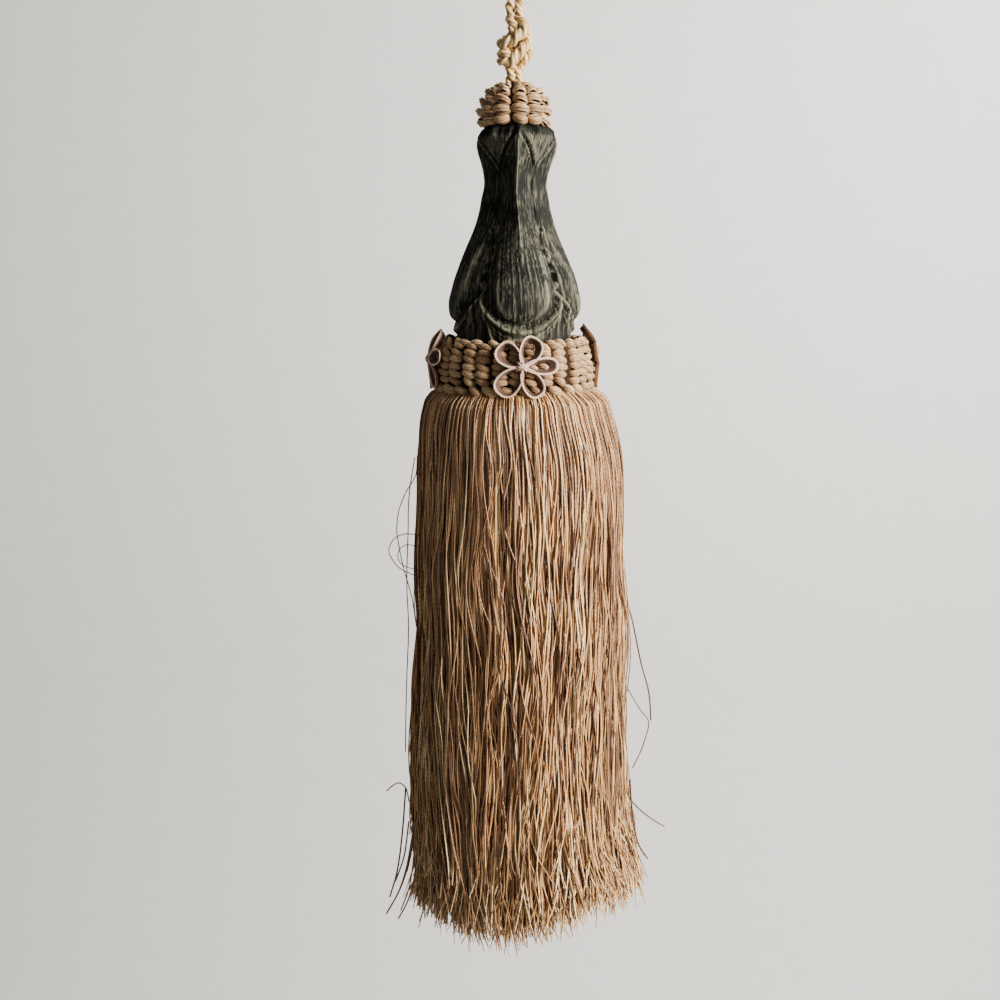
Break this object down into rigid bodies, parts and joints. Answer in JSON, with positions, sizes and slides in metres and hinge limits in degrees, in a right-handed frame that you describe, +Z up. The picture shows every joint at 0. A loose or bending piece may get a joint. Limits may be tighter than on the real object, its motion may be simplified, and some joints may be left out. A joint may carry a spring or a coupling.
{
  "type": "long trimming tassel with a carved head",
  "caption": "Long tassel: looped twisted cord, knotted cap, dark carved petal head, knotted collar with ribbon flowers and a full thread skirt.",
  "frame": {"origin": "the inside top of the hanging loop's bight, where a hook or knob bears", "axes": "+Z up along the hanging cord, -Y towards the front flower, +X to the right of someone facing the front"},
  "size_m": [0.0897, 0.0656, 0.3295],
  "materials": {
    "cord": "two-ply twisted cotton and viscose cord, soft sheen",
    "knots": "knots wrapped in fine shiny thread",
    "carved_head": "dark matte paint, dry-brushed paler on the ridges",
    "gimp": "gimp ribbon with a paler rolled edge",
    "skirt_threads": "fine twisted viscose threads with a silky sheen"
  },
  "bodies": {
    "root": {"cord_loop": "cord", "cord_knot": "cord", "cord_neck": "cord", "cap": "knots", "head": "carved_head", "collar": "knots", "flower_front": "gimp", "flower_right": "gimp", "flower_back": "gimp", "flower_left": "gimp", "skirt": "skirt_threads"}
  },
  "joints": []
}
